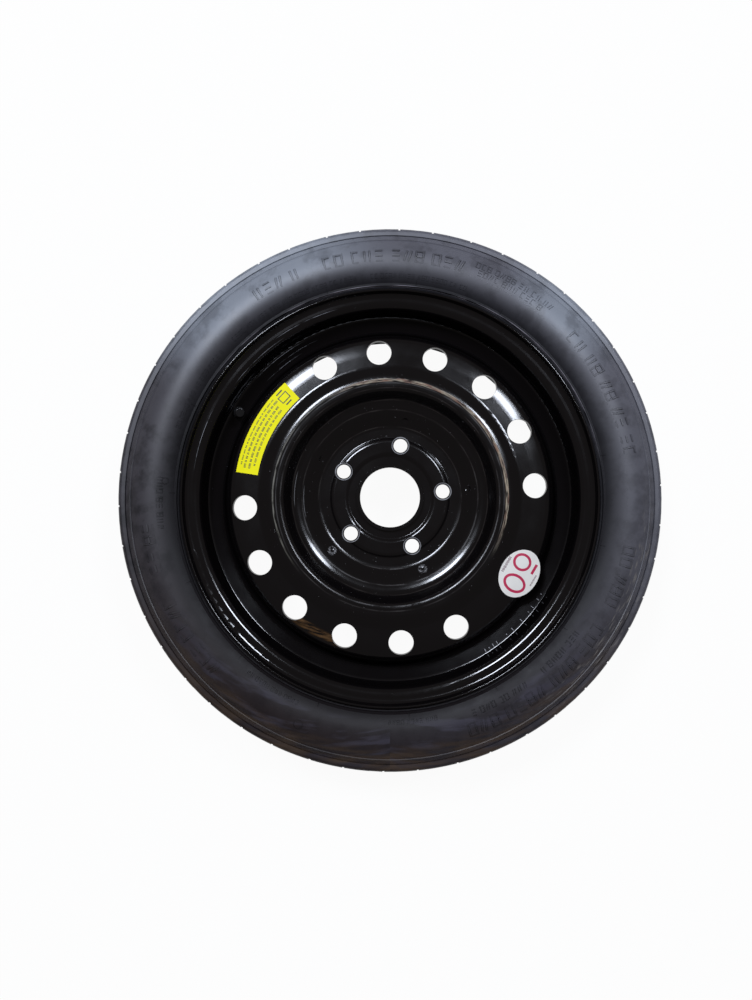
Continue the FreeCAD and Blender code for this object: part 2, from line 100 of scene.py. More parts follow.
# %% [markdown]
# Colours are written as the hex values that a paint chart or a picture editor shows. Blender
# calculates in linear light, so one function converts them by the curve of the sRGB standard. Another
# adds a node to a material, sets its properties, and fills or links its inputs, which keeps each
# material short to read.

# %% Colour and node helpers
FULL_LEVEL = 255
CURVE_KNEE = 0.04045
CURVE_SLOPE = 12.92
CURVE_OFFSET = 0.055
CURVE_POWER = 2.4


def linear(code):
    """Linear colour with alpha from an sRGB hex code such as #20242A."""
    shares = [int(code[i:i + 2], 16) / FULL_LEVEL for i in (1, 3, 5)]
    light = [s / CURVE_SLOPE if s <= CURVE_KNEE
             else ((s + CURVE_OFFSET) / (1 + CURVE_OFFSET)) ** CURVE_POWER for s in shares]
    return light + [1.0]


def add(tree, kind, links=None, **settings):
    """Add one node, set its properties, and fill or link its input sockets."""
    node = tree.nodes.new(kind)
    for name, value in settings.items():
        setattr(node, name, value)
    for socket, value in (links or {}).items():
        if isinstance(value, bpy.types.NodeSocket):
            tree.links.new(value, node.inputs[socket])
        else:
            node.inputs[socket].default_value = value
    return node


def begin(name, colour, **sockets):
    """A new material with its node tree and its shader, and the shader's plain values set."""
    made = bpy.data.materials.new(name)
    made.use_nodes = True
    shader = made.node_tree.nodes["Principled BSDF"]
    shader.inputs["Base Color"].default_value = linear(colour)
    for socket, value in sockets.items():
        shader.inputs[socket.replace("_", " ")].default_value = value
    return made, made.node_tree, shader


print("hex #808080 is linear", round(linear("#808080")[0], 3))

# %% [markdown]
# Gloss black paint shows mostly what it mirrors, so the lamps' places matter more than their power.
# The bright arcs in the picture fit two soft lamps, one to the upper left and a narrower one to the
# upper right, both about thirty degrees off the wheel's axis. They stand far off, so that every part
# of the wheel sees them at nearly the same angle. Each lamp has a clock angle, a width and a height.

# %% Lamps
LAMP_DISTANCE = 4.0
LAMP_ELEVATION = 61
LAMP_GLOW = 42.0
LAMP_COLOUR = "#EAF1FF"
LAMPS = {"lamp_left": (324.5, 0.84, 0.84), "lamp_right": (47.5, 0.5, 0.84)}


def softbox(name, clock, width, height):
    """A rectangular lamp that faces the wheel's centre. Its power follows from its glow and area."""
    lamp = bpy.data.lights.new(name, "AREA")
    lamp.shape = "RECTANGLE"
    lamp.size = width
    lamp.size_y = height
    lamp.energy = LAMP_GLOW * math.pi * width * height
    lamp.color = linear(LAMP_COLOUR)[:3]
    place = direction(clock) * math.cos(math.radians(LAMP_ELEVATION))
    place.z = math.sin(math.radians(LAMP_ELEVATION))
    holder = bpy.data.objects.new(name, lamp)
    holder.location = place * LAMP_DISTANCE
    holder.rotation_euler = (-place).to_track_quat("-Z", "Y").to_euler()
    bpy.context.scene.collection.objects.link(holder)


bpy.context.scene.view_settings.view_transform = "Standard"
for lamp_name, lamp_place in LAMPS.items():
    softbox(lamp_name, *lamp_place)
print("lamps:", len(LAMPS), "at", LAMP_DISTANCE, "m")

# %% [markdown]
# The floor is a pale sheet that the camera sees as white, with a soft trace of the wheel's shadow
# left on it. Its white is a glow that shows to the camera and in mirrors and lights nothing else, and
# the rest of the room is dim.

# %% Floor and room
FLOOR_SIZE = 30.0
PAPER = "#F5F5F3"
PAPER_ROUGHNESS = 0.9
FLOOR_WHITE = 0.95
ROOM_LIGHT = 0.11
ROOM_COLOUR = "#FFF4F0"


def pale_floor():
    """Matt white paper on the ground, white to the camera and in reflections."""
    made, tree, shader = begin("matt_white_paper", PAPER, Roughness=PAPER_ROUGHNESS)
    rays = add(tree, "ShaderNodeLightPath").outputs
    seen = add(tree, "ShaderNodeMath", {0: rays["Is Camera Ray"], 1: rays["Is Glossy Ray"]},
               operation="MAXIMUM").outputs[0]
    seen = add(tree, "ShaderNodeMath", {0: seen, 1: rays["Is Transmission Ray"]},
               operation="MAXIMUM").outputs[0]
    share = add(tree, "ShaderNodeMath", {0: seen, 1: FLOOR_WHITE}, operation="MULTIPLY").outputs[0]
    glow = add(tree, "ShaderNodeEmission", {"Color": (1, 1, 1, 1), "Strength": 1.0}).outputs[0]
    mixed = add(tree, "ShaderNodeMixShader", {0: share, 1: shader.outputs[0], 2: glow}).outputs[0]
    tree.links.new(mixed, tree.nodes["Material Output"].inputs["Surface"])
    return made


half = FLOOR_SIZE / 2
corners = [(-half, -half, 0), (half, -half, 0), (half, half, 0), (-half, half, 0)]
ground = bpy.data.meshes.new("floor")
ground.from_pydata(corners, [], [(0, 1, 2, 3)])
ground.materials.append(pale_floor())
floor = bpy.data.objects.new("floor", ground)
floor.location.z = cad_box[0].z
bpy.context.scene.collection.objects.link(floor)
room = bpy.data.worlds.new("room")
room.use_nodes = True
room.node_tree.nodes["Background"].inputs["Color"].default_value = linear(ROOM_COLOUR)
room.node_tree.nodes["Background"].inputs["Strength"].default_value = ROOM_LIGHT
bpy.context.scene.world = room
print("floor at", round(floor.location.z / MM, 1), "mm")

# %% [markdown]
# Most marks on a wheel run round it, so the materials need its radius and its clock angle, not x and
# y. Two dot products with the picture's up and right directions give the angle, and the length of
# the flat part gives the radius.

# %% Radius and clock angle in a material
UP = direction(0)
RIGHT = direction(90)


def around(tree):
    """Sockets for radius in metres, clock angle from -180 to 180, and (radius, arc, height)."""
    place = add(tree, "ShaderNodeTexCoord").outputs["Object"]
    flat = add(tree, "ShaderNodeVectorMath", {0: place, 1: (1, 1, 0)}, operation="MULTIPLY").outputs[0]
    radius = add(tree, "ShaderNodeVectorMath", {0: flat}, operation="LENGTH").outputs["Value"]
    up, right = [add(tree, "ShaderNodeVectorMath", {0: place, 1: way}, operation="DOT_PRODUCT")
                 for way in (UP, RIGHT)]
    turn = add(tree, "ShaderNodeMath", {0: right.outputs["Value"], 1: up.outputs["Value"]},
               operation="ARCTAN2").outputs[0]
    clock = add(tree, "ShaderNodeMath", {0: turn}, operation="DEGREES").outputs[0]
    arc = add(tree, "ShaderNodeMath", {0: turn, 1: radius}, operation="MULTIPLY").outputs[0]
    height = add(tree, "ShaderNodeSeparateXYZ", {0: place}).outputs["Z"]
    polar = add(tree, "ShaderNodeCombineXYZ", {0: radius, 1: arc, 2: height}).outputs[0]
    return radius, clock, polar


print("picture's right on the wheel:", [round(x, 3) for x in RIGHT])

# %% [markdown]
# A band is two smooth steps multiplied together, and noise that is drawn out along the arc makes
# scuffs and scratches. Below, a band is written as its two limits and its soft edge, and streaks as
# their size across and along the arc and the two noise levels between which they rise. Colours are
# then laid over one another, each by its mask.

# %% Masks and layers
STREAK_DETAIL = 4.0
ARC_FADE = 3


def product(tree, *masks):
    """Masks multiplied."""
    result = masks[0]
    for mask in masks[1:]:
        result = add(tree, "ShaderNodeMath", {0: result, 1: mask}, operation="MULTIPLY").outputs[0]
    return result


def strongest(tree, *masks):
    """The largest of several masks."""
    result = masks[0]
    for mask in masks[1:]:
        result = add(tree, "ShaderNodeMath", {0: result, 1: mask}, operation="MAXIMUM").outputs[0]
    return result


def between(tree, value, low, high, soft):
    """A mask that is 1 from low to high and fades over a soft edge on both sides."""
    steps = [add(tree, "ShaderNodeMapRange", {"Value": value, "From Min": start, "From Max": end},
                 interpolation_type="SMOOTHSTEP").outputs[0]
             for start, end in ((low - soft, low + soft), (high + soft, high - soft))]
    return product(tree, *steps)


def streaks(tree, polar, across, along, low, high):
    """Noise drawn out round the wheel, with streak sizes in metres, cut between two levels."""
    size = add(tree, "ShaderNodeVectorMath", {0: polar, 1: (1 / across, 1 / along, 1 / across)},
               operation="MULTIPLY").outputs[0]
    noise = add(tree, "ShaderNodeTexNoise", {"Vector": size, "Scale": 1.0, "Detail": STREAK_DETAIL})
    return add(tree, "ShaderNodeMapRange",
               {"Value": noise.outputs["Fac"], "From Min": low, "From Max": high}).outputs[0]


def arcs(tree, radius, clock, lines):
    """Thin lines round the wheel, each given as radius, half width, first and last clock angle."""
    masks = [product(tree, between(tree, radius, middle - half_width, middle + half_width, half_width),
                     between(tree, clock, first, last, ARC_FADE))
             for middle, half_width, first, last in lines]
    return strongest(tree, *masks)


def layered(tree, colour, *layers):
    """A colour with others laid over it by their masks. A mix node has its two colours at 6 and 7."""
    for mask, code in layers:
        over = linear(code) if isinstance(code, str) else code
        colour = add(tree, "ShaderNodeMix", {0: mask, 6: colour, 7: over}, data_type="RGBA").outputs[2]
    return colour


print("arcs fade over", ARC_FADE, "degrees")

# %% [markdown]
# The disc and rim are pressed steel under black stoving enamel. Enamel flows out to a hard gloss with
# a faint orange peel, so it shows the lamps clearly and is otherwise nearly black. Deep in the gap
# between disc and rim it is dull with grime, and mirrors almost nothing.

# %% Plain enamel
ENAMEL = "#0A0809"
ENAMEL_IOR = 1.52
PEEL_SIZE = 2.5 * MM
PEEL_DEPTH = 0.005 * MM
PEEL_DETAIL = 2.0
FILM_SIZE = 30 * MM
FILM_DETAIL = 5.0
FILM_LEVELS = (0.3, 0.75)
SHINE = 0.5
DULL_SHINE = 0.02
DULL_INSIDE = (174 * MM, 182 * MM, 0.5 * MM)


def enamel(name, low, high):
    """Enamel with its orange peel and a gloss that wanders a little. Gives the gloss socket too."""
    made, tree, shader = begin(name, ENAMEL, IOR=ENAMEL_IOR)
    place = add(tree, "ShaderNodeTexCoord").outputs["Object"]
    peel = add(tree, "ShaderNodeTexNoise",
               {"Vector": place, "Scale": 1 / PEEL_SIZE, "Detail": PEEL_DETAIL})
    bump = add(tree, "ShaderNodeBump", {"Height": peel.outputs["Fac"], "Distance": PEEL_DEPTH})
    tree.links.new(bump.outputs[0], shader.inputs["Normal"])
    film = add(tree, "ShaderNodeTexNoise",
               {"Vector": place, "Scale": 1 / FILM_SIZE, "Detail": FILM_DETAIL})
    gloss = add(tree, "ShaderNodeMapRange",
                {"Value": film.outputs["Fac"], "From Min": FILM_LEVELS[0], "From Max": FILM_LEVELS[1],
                 "To Min": low, "To Max": high})
    return made, tree, shader, gloss.outputs[0]


def coat(tree, shader, colour, gloss, wear_and_glints, wear_and_glint_roughness, dull):
    """Link an enamel's colour, its roughness, higher on worn marks and painted highlights, and its shine,
    low where dull.
    """
    rough = add(tree, "ShaderNodeMix", {0: wear_and_glints, 2: gloss, 3: wear_and_glint_roughness}, data_type="FLOAT")
    shine = add(tree, "ShaderNodeMapRange", {"Value": dull, "To Min": SHINE, "To Max": DULL_SHINE})
    tree.links.new(colour, shader.inputs["Base Color"])
    tree.links.new(rough.outputs[0], shader.inputs["Roughness"])
    tree.links.new(shine.outputs[0], shader.inputs["Specular IOR Level"])


print("orange peel:", PEEL_SIZE / MM, "mm")

# %% [markdown]
# The disc's high ring stands proudest and has been rubbed: its paint is worn through to grey primer
# and, at the top and right, to brown rust. At the left the worn line is thinner and fainter.

# %% Rubbed ring
CREST = (120.9 * MM, 124.1 * MM, 0.5 * MM)
CREST_CLOCK = (-26, 110, 14)
THIN_CREST = (121.8 * MM, 123.3 * MM, 0.4 * MM)
THIN_CLOCK = (-118, -26, 14)
THIN_SHARE = 0.65
RUB_STREAKS = (0.9 * MM, 15 * MM, 0.40, 0.55)
RUST_STREAKS = (2 * MM, 10 * MM, 0.42, 0.64)
PRIMER = "#7C796C"
PALE_RUST = "#A2957E"
BROWN_RUST = "#71472F"


def rubbed_ring(tree, radius, clock, polar):
    """The mask of the rubbed ring, and its colour."""
    top = between(tree, clock, *CREST_CLOCK)
    wide = product(tree, between(tree, radius, *CREST), top)
    left = between(tree, clock, *THIN_CLOCK)
    thin = product(tree, between(tree, radius, *THIN_CREST), left, THIN_SHARE)
    rubbed_and_highlit = product(tree, strongest(tree, wide, thin), streaks(tree, polar, *RUB_STREAKS))
    rust = layered(tree, linear(PALE_RUST), (streaks(tree, polar, *RUST_STREAKS), BROWN_RUST))
    return rubbed_and_highlit, layered(tree, linear(PRIMER), (top, rust))


print("rubbed ring:", round((CREST[1] - CREST[0]) / MM, 1), "mm wide")

# %% [markdown]
# Pale steel grey lies in small places. Chips show bare metal, and the edges of the stud seats are partly
# worn bare and partly a painted highlight. Painted highlights lie round the dimples of the two low studs,
# and two thin arcs in the bowl are a painted reflection. The stud holes and the dimples repeat every
# fifth of a turn from the valve, so one function finds the distance to the nearest of them.

# %% Bare spots and painted highlights
STUD_ANGLE = 72
STUD_RADIUS = 57.15 * MM
# Stud seat edges: partly worn steel, partly a painted highlight.
STUD_EDGE = (8.6 * MM, 9.5 * MM, 0.3 * MM)
EDGE_SHARE = 0.8
DIMPLE_RADIUS = 84 * MM
DIMPLE_EDGE = (2.0 * MM, 4.6 * MM, 0.7 * MM)
# Painted highlights round the dimples of the two low studs.
LOW_STUDS = (126, 168, 4)
DIMPLE_GLINT_STREAKS = (1.1 * MM, 3.5 * MM, 0.47, 0.58)
DIMPLE_GLINT_SHARE = 0.7
# Two thin arcs painted as a reflection in the bowl.
BOWL_REFLECTION_ARCS = [(92.0 * MM, 0.22 * MM, -102, -84), (101.5 * MM, 0.25 * MM, -94, -76)]
BOWL_REFLECTION_SHARE = 0.5
CHIPPED_RING = (62 * MM, 130 * MM, 2 * MM)
CHIP_STREAKS = (1.0 * MM, 2.2 * MM, 0.735, 0.76)


def stud_distance(tree, radius, clock, circle):
    """Distance to the nearest of five spots on a circle, each in line with a stud, by the cosine rule."""
    from_valve = add(tree, "ShaderNodeMath", {0: clock, 1: VALVE_CLOCK}, operation="SUBTRACT").outputs[0]
    nearest = add(tree, "ShaderNodeMath", {0: from_valve, 1: STUD_ANGLE / 2, 2: -STUD_ANGLE / 2},
                  operation="WRAP").outputs[0]
    angle = add(tree, "ShaderNodeMath", {0: nearest}, operation="RADIANS").outputs[0]
    spread = add(tree, "ShaderNodeMath", {0: angle}, operation="COSINE").outputs[0]
    squares = add(tree, "ShaderNodeMath", {0: product(tree, radius, radius), 1: circle ** 2},
                  operation="ADD").outputs[0]
    square = add(tree, "ShaderNodeMath", {0: squares, 1: product(tree, radius, spread, 2 * circle)},
                 operation="SUBTRACT").outputs[0]
    return add(tree, "ShaderNodeMath", {0: square}, operation="SQRT").outputs[0]


def bare_spots_and_glints(tree, radius, clock, polar):
    """The mask of the disc's bare spots, painted highlights and painted reflections."""
    chips = product(tree, between(tree, radius, *CHIPPED_RING), streaks(tree, polar, *CHIP_STREAKS))
    seats = stud_distance(tree, radius, clock, STUD_RADIUS)
    edges = product(tree, between(tree, seats, *STUD_EDGE), EDGE_SHARE)
    dimples = stud_distance(tree, radius, clock, DIMPLE_RADIUS)
    from_top = add(tree, "ShaderNodeMath", {0: clock}, operation="ABSOLUTE").outputs[0]
    dimple_glints = product(tree, between(tree, dimples, *DIMPLE_EDGE), between(tree, from_top, *LOW_STUDS),
                     streaks(tree, polar, *DIMPLE_GLINT_STREAKS), DIMPLE_GLINT_SHARE)
    # The painted reflection arcs in the bowl.
    bowl_reflections = product(tree, arcs(tree, radius, clock, BOWL_REFLECTION_ARCS), BOWL_REFLECTION_SHARE)
    return strongest(tree, chips, edges, dimple_glints, bowl_reflections)


print("stud holes:", 360 // STUD_ANGLE)

# %% [markdown]
# Pale rings are painted along the bends of the bowl as a painted reflection of the dim room, and one rust
# stain has run between two vents at the lower left. With these the disc's enamel is complete: gloss
# black, broken by a worn ring and pale specks.

# %% Black enamel on the disc
DISC_GLOSS = (0.12, 0.19)
# Bends of the bowl where pale rings are painted as reflections of the room.
REFLECTING_BENDS = [77.0 * MM, 93.6 * MM, 103.6 * MM, 114.4 * MM, 119.4 * MM]
BEND_HALF = 0.5 * MM
BEND_SOFT = 0.7 * MM
BEND_REFLECTION_STREAKS = (3 * MM, 22 * MM, 0.36, 0.66)
BEND_REFLECTION_SHARE = 0.75
PAINTED_BEND_REFLECTION = "#332E2C"
STAIN_RING = (156.5 * MM, 165 * MM, 2 * MM)
STAIN_CLOCK = (-162, -141, 3)
STAIN_STREAKS = (4 * MM, 9 * MM, 0.4, 0.66)
STAIN = "#563A16"
# Pale grey for bare steel and for the painted highlights and reflections.
BARE_STEEL_AND_GLINT = "#9A9A9C"
WEAR_AND_GLINT_ROUGHNESS = 0.6


def worn_enamel():
    """The disc's enamel, with its rubbed ring, rust, bare spots, and painted highlights and reflections.
    """
    made, tree, shader, gloss = enamel("black_stoving_enamel_worn", *DISC_GLOSS)
    radius, clock, polar = around(tree)
    bends = [between(tree, radius, bend - BEND_HALF, bend + BEND_HALF, BEND_SOFT) for bend in REFLECTING_BENDS]
    bend_reflections = product(tree, strongest(tree, *bends), streaks(tree, polar, *BEND_REFLECTION_STREAKS), BEND_REFLECTION_SHARE)
    rubbed_and_highlit, ring = rubbed_ring(tree, radius, clock, polar)
    bare_and_glints = bare_spots_and_glints(tree, radius, clock, polar)
    stain = product(tree, between(tree, radius, *STAIN_RING), between(tree, clock, *STAIN_CLOCK),
                    streaks(tree, polar, *STAIN_STREAKS))
    colour = layered(tree, linear(ENAMEL), (bend_reflections, PAINTED_BEND_REFLECTION), (rubbed_and_highlit, ring), (bare_and_glints, BARE_STEEL_AND_GLINT),
                     (stain, STAIN))
    inside = between(tree, radius, *DULL_INSIDE)
    # This mask holds real wear and also the painted highlights and reflections.
    wear_and_glints = strongest(tree, rubbed_and_highlit, stain, bare_and_glints, bend_reflections, inside)
    coat(tree, shader, colour, gloss, wear_and_glints, WEAR_AND_GLINT_ROUGHNESS, inside)
    return made


disc_enamel = worn_enamel()
print("made", disc_enamel.name)

# %% [markdown]
# The rim has the same enamel. A few long thin pale arcs round its inner wall, mostly at the upper left,
# are painted highlights, and some small chips show the pale primer through. The wall behind the disc's
# edge is grimy and shines less.

# %% Black enamel on the rim
RIM_GLOSS = (0.09, 0.14)
# Thin arcs of painted highlight round the rim's inner wall.
RIM_HIGHLIGHT_ARCS = [
    (186.5 * MM, 0.16 * MM, -44, -34),
    (191.0 * MM, 0.14 * MM, -38, -27),
    (196.2 * MM, 0.22 * MM, -46, -31),
    (198.8 * MM, 0.13 * MM, -60, -49),
    (203.6 * MM, 0.16 * MM, -52, -36),
    (207.4 * MM, 0.18 * MM, -34, -18),
    (209.0 * MM, 0.14 * MM, -80, -66),
]
RIM_HIGHLIGHT_STREAKS = (1 * MM, 9 * MM, 0.36, 0.56)
RIM_CHIP_CLOCK = (-95, 5, 10)
RIM_CHIP_STREAKS = (0.9 * MM, 2.4 * MM, 0.77, 0.795)
# Pale grey for the painted highlight arcs and the primer in chips.
PRIMER_AND_HIGHLIGHT_GREY = "#8A8C92"
ARC_AND_CHIP_ROUGHNESS = 0.5
DULL_WALL = (182.5 * MM, 196.5 * MM, 1.5 * MM)
WALL_SHARE = 0.75


def chipped_and_highlighted_enamel():
    """The rim's enamel, with thin painted highlights that run round it, and chips."""
    made, tree, shader, gloss = enamel("black_stoving_enamel_chipped_highlighted", *RIM_GLOSS)
    radius, clock, polar = around(tree)
    lines = product(tree, arcs(tree, radius, clock, RIM_HIGHLIGHT_ARCS), streaks(tree, polar, *RIM_HIGHLIGHT_STREAKS))
    chips = product(tree, between(tree, clock, *RIM_CHIP_CLOCK), streaks(tree, polar, *RIM_CHIP_STREAKS))
    # This mask holds the chips and also the painted highlight arcs.
    wear_and_glints = strongest(tree, lines, chips)
    colour = layered(tree, linear(ENAMEL), (wear_and_glints, PRIMER_AND_HIGHLIGHT_GREY))
    inside = between(tree, radius, *DULL_INSIDE)
    wall = product(tree, between(tree, radius, *DULL_WALL), WALL_SHARE)
    coat(tree, shader, colour, gloss, strongest(tree, wear_and_glints, inside), ARC_AND_CHIP_ROUGHNESS,
         strongest(tree, inside, wall))
    return made


rim_enamel = chipped_and_highlighted_enamel()
print("made", rim_enamel.name)

# %% [markdown]
# Tyre rubber is moulded black rubber with carbon in it, dark grey and dull. This one has been stored, and
# a bluish grey bloom lies over it. Painted light makes it paler towards the upper right and darker
# towards the lower left, and two patches on the shoulder are painted highlights.

# %% Bloom and painted light on rubber
OUTER_RADIUS = 291 * MM
# The side of the tyre painted lightest, as if lit.
LIT_SIDE_CLOCK = 35
BLOOM_AND_LIGHT_COLOURS = [
    (0.0, "#261E1D"),
    (0.2, "#353236"),
    (0.55, "#48474D"),
    (0.85, "#5A5A61"),
    (1.0, "#606068"),
]
# Patches of painted highlight on the shoulder, facing the two lamps.
SHEEN_CLOCKS = [(-54, -10, 12), (33, 53, 9)]
SHEEN_RING = (248 * MM, 300 * MM, 9 * MM)
SHEEN_SHARE = 0.9
PAINTED_SHEEN = "#8A9099"


def bloom_and_light(tree, place, radius, clock):
    """The rubber's colour with painted light, from its shaded side across to its lit one, with the
    patches of painted highlight.
    """
    side = add(tree, "ShaderNodeVectorMath", {0: place, 1: direction(LIT_SIDE_CLOCK)},
               operation="DOT_PRODUCT")
    share = add(tree, "ShaderNodeMapRange",
                {"Value": side.outputs["Value"], "From Min": -OUTER_RADIUS, "From Max": OUTER_RADIUS})
    run = add(tree, "ShaderNodeValToRGB", {0: share.outputs[0]})
    while len(run.color_ramp.elements) < len(BLOOM_AND_LIGHT_COLOURS):
        run.color_ramp.elements.new(1.0)
    for stop, (position, code) in zip(run.color_ramp.elements, BLOOM_AND_LIGHT_COLOURS):
        stop.position = position
        stop.color = linear(code)
    sheen_patches = strongest(tree, *[between(tree, clock, *span) for span in SHEEN_CLOCKS])
    painted_sheen = product(tree, sheen_patches, between(tree, radius, *SHEEN_RING), SHEEN_SHARE)
    return layered(tree, run.outputs[0], (painted_sheen, PAINTED_SHEEN))


print("bloom runs through", len(BLOOM_AND_LIGHT_COLOURS), "colours")

# %% [markdown]
# The bloom is cloudy, and most of all at the left, where the darker rubber shows through. Close to the
# rim the rubber is clean and nearly black. The lower part is darker with painted shade, and lies in a
# haze.

# %% Clouds and clean rubber
CLOUD_SIZE = 22 * MM
CLOUD_DETAIL = 6.0
CLOUD_ROUGHNESS = 0.62
CLOUD_GAPS = (0.53, 0.38)
GAP_SHARE = 0.8
MOTTLED_CLOCK = (-112, -66, 12)
MOTTLED_LEAST = 0.4
CLEAN_RING = (225 * MM, 256 * MM)
CLEAN_SHARE = 0.9
LOW_CLOCK = (105, 150)


def cloud_gaps(tree, cloud, clock):
    """The mask of the gaps in the bloom."""
    gaps = add(tree, "ShaderNodeMapRange", {"Value": cloud, "From Min": CLOUD_GAPS[0],
                                            "From Max": CLOUD_GAPS[1], "To Max": GAP_SHARE})
    mottled = add(tree, "ShaderNodeMapRange",
                  {"Value": between(tree, clock, *MOTTLED_CLOCK), "To Min": MOTTLED_LEAST})
    return product(tree, gaps.outputs[0], mottled.outputs[0])


def near_rim(tree, radius):
    """A mask that is strong at the rim and fades outward."""
    return add(tree, "ShaderNodeMapRange",
               {"Value": radius, "From Min": CLEAN_RING[0], "From Max": CLEAN_RING[1],
                "To Min": CLEAN_SHARE, "To Max": 0.0}, interpolation_type="SMOOTHSTEP").outputs[0]


def low_side(tree, clock):
    """The mask of the tyre's lower part."""
    from_top = add(tree, "ShaderNodeMath", {0: clock}, operation="ABSOLUTE").outputs[0]
    return add(tree, "ShaderNodeMapRange", {"Value": from_top, "From Min": LOW_CLOCK[0],
                                            "From Max": LOW_CLOCK[1]},
               interpolation_type="SMOOTHSTEP").outputs[0]


print("clouds:", CLOUD_SIZE / MM, "mm")

# %% [markdown]
# Brown dust lies along the lower shoulder, pale scuffs mark the shoulder at the right, and a pale line is
# painted as a highlight round the ridge at the rim's edge at the top. Rubber has a soft sheen, so its
# roughness is under a half. The mould's own grain is near 0.2 mm, and is drawn coarser here so that it
# shows. The raised marks get the same rubber a little darker.

# %% Tyre rubber
RUBBER = "#232326"
RUBBER_IOR = 1.5
RUBBER_GLOSS = (0.37, 0.5)
GLOSS_LEVELS = (0.3, 0.7)
SHEEN = (0.52, 0.05)
LOW_HUSH = 0.5
GAP_RUBBER = "#1E1D20"
CLEAN_RUBBER = "#100F11"
# Painted shade on the tyre's lower part.
LOW_PAINTED_SHADE = "#160D0D"
LOW_SHADE_SHARE = 0.3
# Each of these has a ring, its streaks, a strength and a colour.
HAZE = ((236 * MM, 280 * MM, 8 * MM), (14 * MM, 34 * MM, 0.5, 0.64), 0.5, "#484652")
BROWN_DUST = ((262 * MM, 292 * MM, 9 * MM), (9 * MM, 30 * MM, 0.4, 0.66), 0.7, "#4A3B2D")
# A pale line painted as a highlight on the ridge by the rim.
RIDGE_HIGHLIGHT = ((223.4 * MM, 224.6 * MM, 0.4 * MM), (6 * MM, 40 * MM, 0.42, 0.6), 1.0, "#8C8890")
SCUFFS = ((262 * MM, 283 * MM, 3 * MM), (2.2 * MM, 14 * MM, 0.55, 0.68), 0.7, "#77736F")
RIDGE_HIGHLIGHT_CLOCK = (-50, 75, 8)
SCUFFED_CLOCK = (96, 142, 8)
GRAIN_SIZE = 0.9 * MM
GRAIN_DEPTH = 0.03 * MM
GRAIN_DETAIL = 3.0
MARK_SHADE = 0.3
MARK_RUBBER = "#0C0C0D"


def stored_rubber(name, shade):
    """Sidewall and tread rubber with bloom, painted light, shade and highlights, dust and a fine moulded
    grain, darkened by a share.
    """
    made, tree, shader = begin(name, RUBBER, IOR=RUBBER_IOR)
    radius, clock, polar = around(tree)
    place = add(tree, "ShaderNodeTexCoord").outputs["Object"]
    cloud = add(tree, "ShaderNodeTexNoise", {"Vector": place, "Scale": 1 / CLOUD_SIZE,
                                             "Detail": CLOUD_DETAIL,
                                             "Roughness": CLOUD_ROUGHNESS}).outputs["Fac"]
    clean = near_rim(tree, radius)
    low = low_side(tree, clock)
    gaps = cloud_gaps(tree, cloud, clock)
    # Painted shade is laid over the lower part here.
    colour = layered(tree, bloom_and_light(tree, place, radius, clock), (gaps, GAP_RUBBER),
                     (clean, CLEAN_RUBBER), (product(tree, low, LOW_SHADE_SHARE), LOW_PAINTED_SHADE))
    # The span where the ridge highlight is painted.
    rubbed_and_highlit = between(tree, clock, *RIDGE_HIGHLIGHT_CLOCK)
    scuffed = between(tree, clock, *SCUFFED_CLOCK)
    for where, mark in ((low, HAZE), (low, BROWN_DUST), (rubbed_and_highlit, RIDGE_HIGHLIGHT), (scuffed, SCUFFS)):
        ring, grains, strength, code = mark
        mask = product(tree, where, between(tree, radius, *ring), streaks(tree, polar, *grains), strength)
        colour = layered(tree, colour, (mask, code))
    colour = layered(tree, colour, (shade, MARK_RUBBER))
    rough = add(tree, "ShaderNodeMapRange",
                {"Value": cloud, "From Min": GLOSS_LEVELS[0], "From Max": GLOSS_LEVELS[1],
                 "To Min": RUBBER_GLOSS[0], "To Max": RUBBER_GLOSS[1]})
    hushed = strongest(tree, clean, product(tree, low, LOW_HUSH))
    sheen = add(tree, "ShaderNodeMapRange", {"Value": hushed, "To Min": SHEEN[0], "To Max": SHEEN[1]})
    grain = add(tree, "ShaderNodeTexNoise",
                {"Vector": place, "Scale": 1 / GRAIN_SIZE, "Detail": GRAIN_DETAIL})
    bump = add(tree, "ShaderNodeBump", {"Height": grain.outputs["Fac"], "Distance": GRAIN_DEPTH})
    tree.links.new(colour, shader.inputs["Base Color"])
    tree.links.new(rough.outputs[0], shader.inputs["Roughness"])
    tree.links.new(sheen.outputs[0], shader.inputs["Specular IOR Level"])
    tree.links.new(bump.outputs[0], shader.inputs["Normal"])
    return made


tyre_rubber = stored_rubber("moulded_tyre_rubber", 0.0)
mark_rubber = stored_rubber("moulded_tyre_rubber_marks", MARK_SHADE)
print("made", tyre_rubber.name, "and", mark_rubber.name)

# %% [markdown]
# The valve is a rubber snap-in body moulded round a brass stem, with a small plastic cap. The label
# and the sticker are vinyl films, printed with dark, crimson and plum ink. These surfaces are small,
# so a fine grain and a little uneven gloss are enough for each. A finish is written as its two
# colours and its two roughness values.

# %% Small materials
SMALL_GRAIN = 0.25 * MM
SMALL_DEPTH = 0.004 * MM
FILM_GRAIN = 6 * MM
BRASS = ("#C09A4A", "#A98236", 0.22, 0.42)


